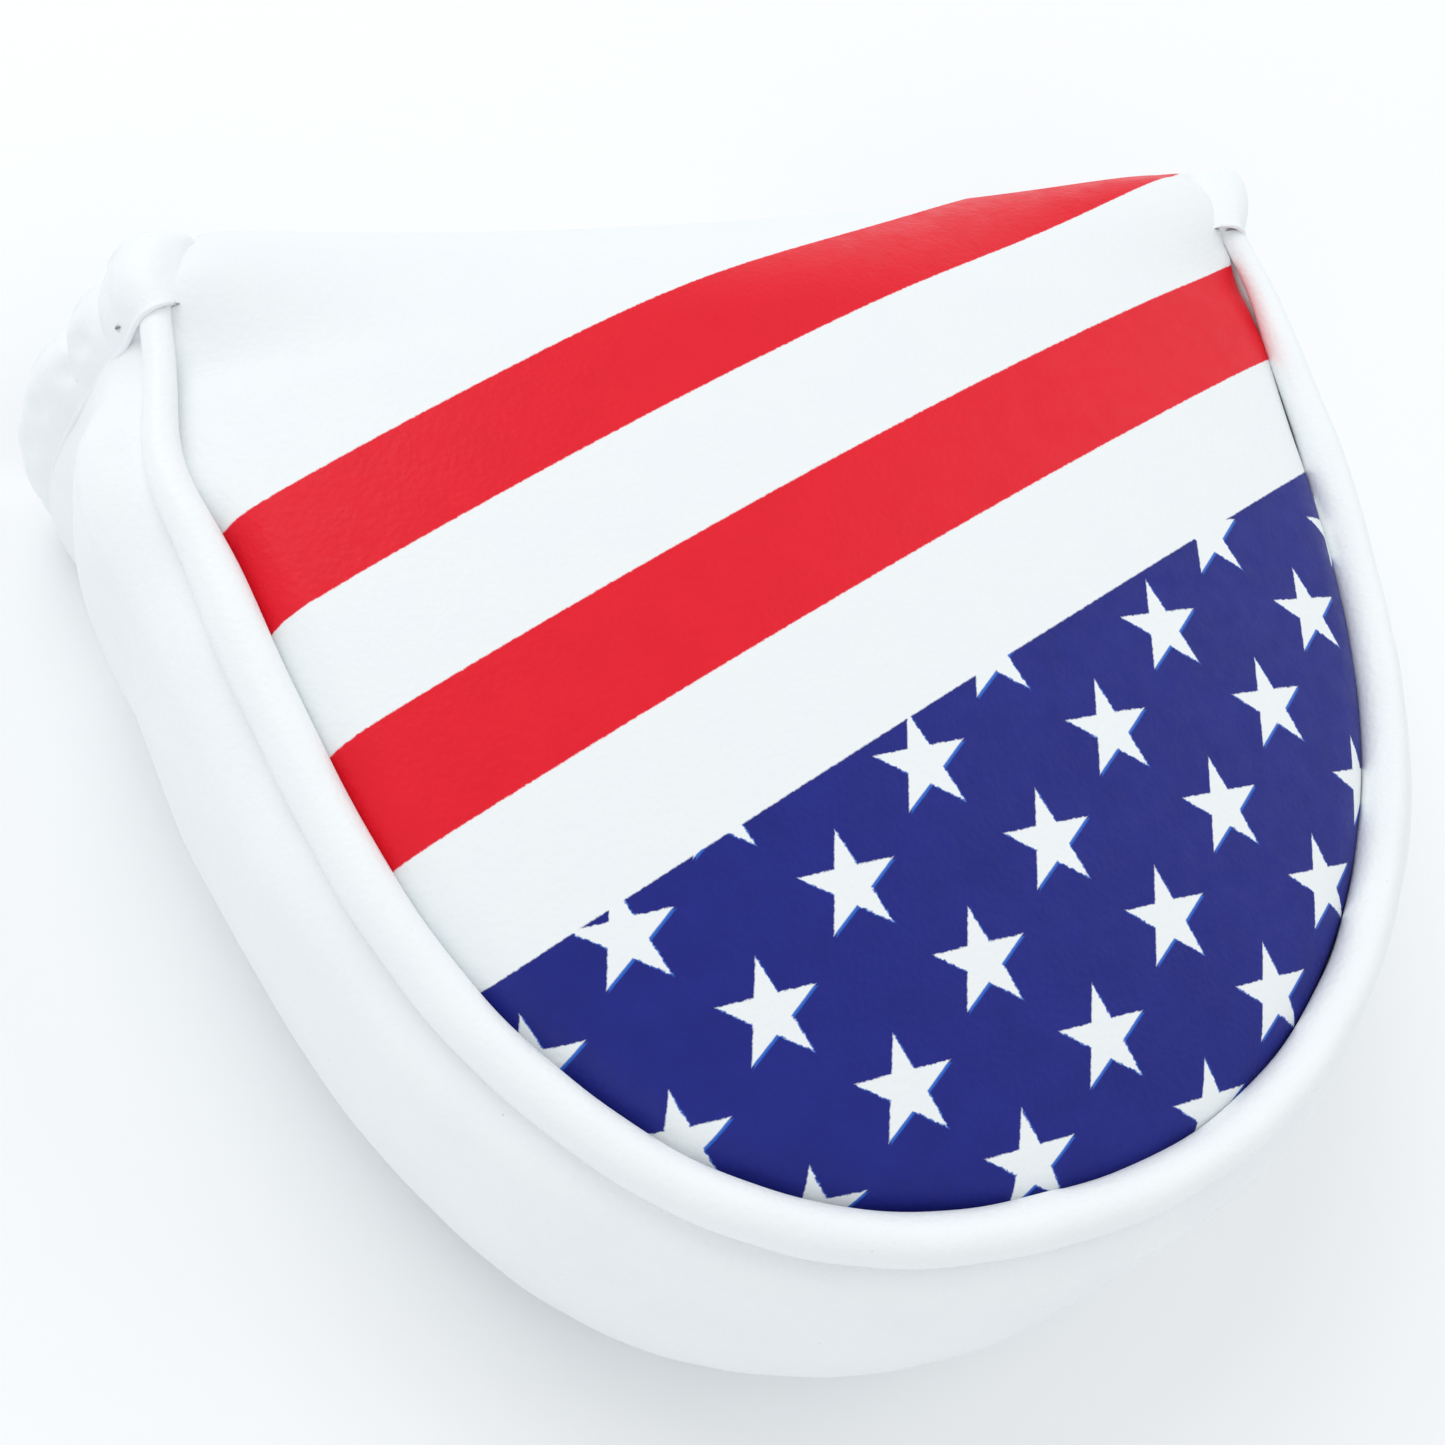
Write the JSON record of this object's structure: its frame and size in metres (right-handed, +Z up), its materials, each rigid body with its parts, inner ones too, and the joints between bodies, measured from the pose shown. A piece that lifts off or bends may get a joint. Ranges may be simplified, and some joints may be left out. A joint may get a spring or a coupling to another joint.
{
  "type": "putter head cover",
  "caption": "Padded D-shaped head cover for a mallet putter, with a printed crowned top, rolled welt, bulging side wall, elastic hems and a magnetic flap that closes the mouth.",
  "frame": {"origin": "middle of the bottom of the cover's box, on the surface it lies on", "axes": "+Z up from the sole to the printed top, +Y towards the mouth and its flap, +X to the right seen from the round end"},
  "size_m": [0.1252, 0.1075, 0.045],
  "materials": {
    "printed_leather": "fine-grained synthetic leather, printed with red stripes and white stars on blue, satin",
    "white_leather": "smooth white synthetic leather, satin",
    "foam": "open-cell foam, matte",
    "lining": "short-pile plush, matte",
    "binding_tape": "ribbed woven tape, matte",
    "elastic": "knitted elastic, matte",
    "magnet_steel": "nickel-plated disc magnets"
  },
  "bodies": {
    "pouch": {"top_panel_skin": "printed_leather", "top_panel_foam": "foam", "top_panel_lining": "lining", "top_mouth_binding": "binding_tape", "top_welt_cover": "white_leather", "top_welt_cord": "foam", "gusset_skin": "white_leather", "gusset_foam": "foam", "gusset_lining": "lining", "hem_casing_left": "white_leather", "hem_elastic_left": "elastic", "hem_casing_right": "white_leather", "hem_elastic_right": "elastic", "sole_skin": "white_leather", "sole_foam": "foam", "sole_lining": "lining", "sole_magnets": "magnet_steel", "sole_mouth_binding": "binding_tape"},
    "closure_flap": {"flap_skin": "white_leather", "flap_foam": "foam", "flap_lining": "lining", "flap_binding": "white_leather", "flap_magnets": "magnet_steel"}
  },
  "joints": [
    {"name": "flap_lift", "type": "hinge", "parent": "pouch", "child": "closure_flap", "pos_m": [0, 0.05145, 0.0366], "axis": [1, 0, 0], "range_deg": [0, 150]}
  ]
}
